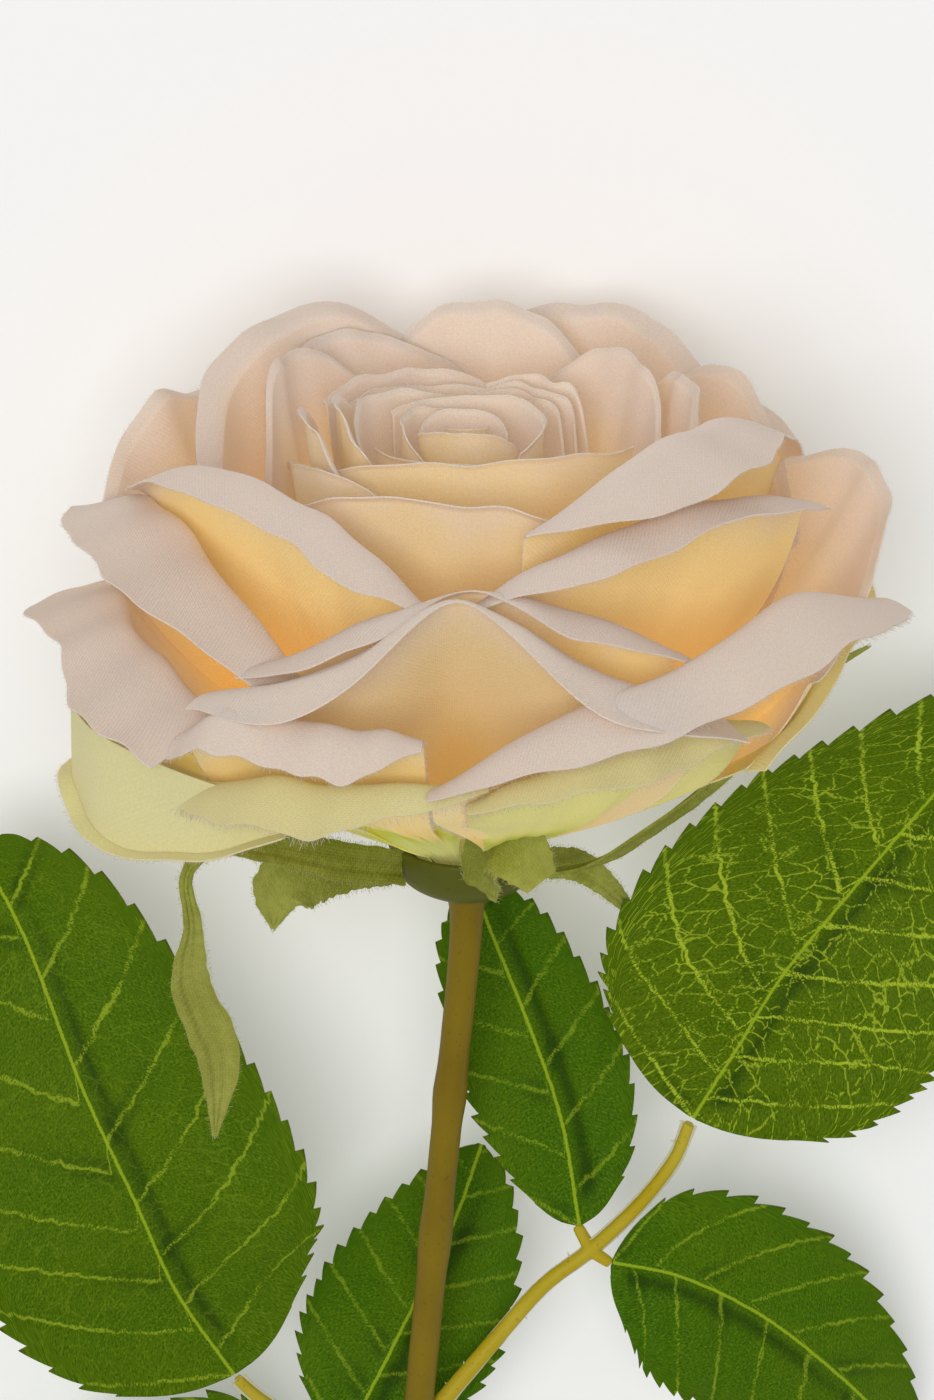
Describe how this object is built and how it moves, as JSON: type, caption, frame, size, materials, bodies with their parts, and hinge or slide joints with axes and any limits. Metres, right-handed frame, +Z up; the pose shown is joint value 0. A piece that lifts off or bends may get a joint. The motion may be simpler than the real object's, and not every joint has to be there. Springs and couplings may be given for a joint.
{
  "type": "cut rose",
  "caption": "Artificial cut rose lying down: wide open ivory fabric bloom, drooping sepals, plastic stem and two leaf sprays.",
  "frame": {"origin": "on the resting surface, under the middle of the rose's bounding box", "axes": "+Z up from the surface it lies on, +Y along the stem towards the bloom, +X to the right of the side that lies uppermost"},
  "size_m": [0.152, 0.3422, 0.1032],
  "materials": {
    "heart_petal": "matt woven polyester, warm butter in its folds, pale at its cut edge",
    "petal": "matt woven polyester, ivory with a faint pink cast, frayed cut edge",
    "guard_petal": "matt woven polyester, cream shading to lime green",
    "sepal": "coarse woven polyester, mottled olive green",
    "hip": "moulded plastic, dark olive, slightly waxy",
    "stem": "moulded plastic over wire, olive brown, satin",
    "stalk": "moulded plastic, yellow olive, satin, with mould flash",
    "leaflet": "printed woven polyester, mid green with yellow-green veins, pressed ribs"
  },
  "bodies": {
    "root": {"hip": "hip", "petal_core_1": "heart_petal", "petal_core_2": "heart_petal", "petal_core_3": "heart_petal", "petal_core_4": "heart_petal", "petal_core_5": "heart_petal", "petal_heart_1": "heart_petal", "petal_heart_2": "heart_petal", "petal_heart_3": "heart_petal", "petal_heart_4": "heart_petal", "petal_heart_5": "heart_petal", "petal_heart_6": "heart_petal", "petal_heart_7": "heart_petal", "petal_inner_front": "heart_petal", "petal_inner_left": "heart_petal", "petal_inner_back": "petal", "petal_inner_right": "petal", "petal_inner_left_low": "heart_petal", "petal_inner_left_tall": "petal", "petal_middle_front": "heart_petal", "petal_middle_right": "petal", "petal_middle_back_left": "petal", "petal_left_cup": "petal", "petal_middle_back": "petal", "petal_right_flap": "petal", "petal_left_flap": "petal", "petal_right_lip": "petal", "petal_back_right": "petal", "petal_right_shoulder": "petal", "petal_left_shoulder": "petal", "petal_back_left": "petal", "petal_front_inner": "petal", "petal_left_wing": "petal", "petal_front": "heart_petal", "petal_right_outer": "petal", "petal_left_point": "petal", "petal_front_left_roll": "petal", "petal_front_right_long": "petal", "petal_front_right_low": "guard_petal", "petal_back_right_low": "petal", "petal_back_left_low": "petal", "petal_right_guard": "guard_petal", "petal_left_guard": "guard_petal", "petal_front_guard": "guard_petal", "petal_floor_guard": "guard_petal", "sepal_left_long": "sepal", "sepal_left_short": "sepal", "sepal_front": "sepal", "sepal_right_long": "sepal", "sepal_right_low": "sepal", "stem": "stem", "stalk_right": "stalk", "stalk_left": "stalk", "leaflet_right_end": "leaflet", "leaflet_right_back": "leaflet", "leaflet_right_low": "leaflet", "leaflet_left_end": "leaflet", "leaflet_left_back": "leaflet", "leaflet_left_low": "leaflet"}
  },
  "joints": []
}
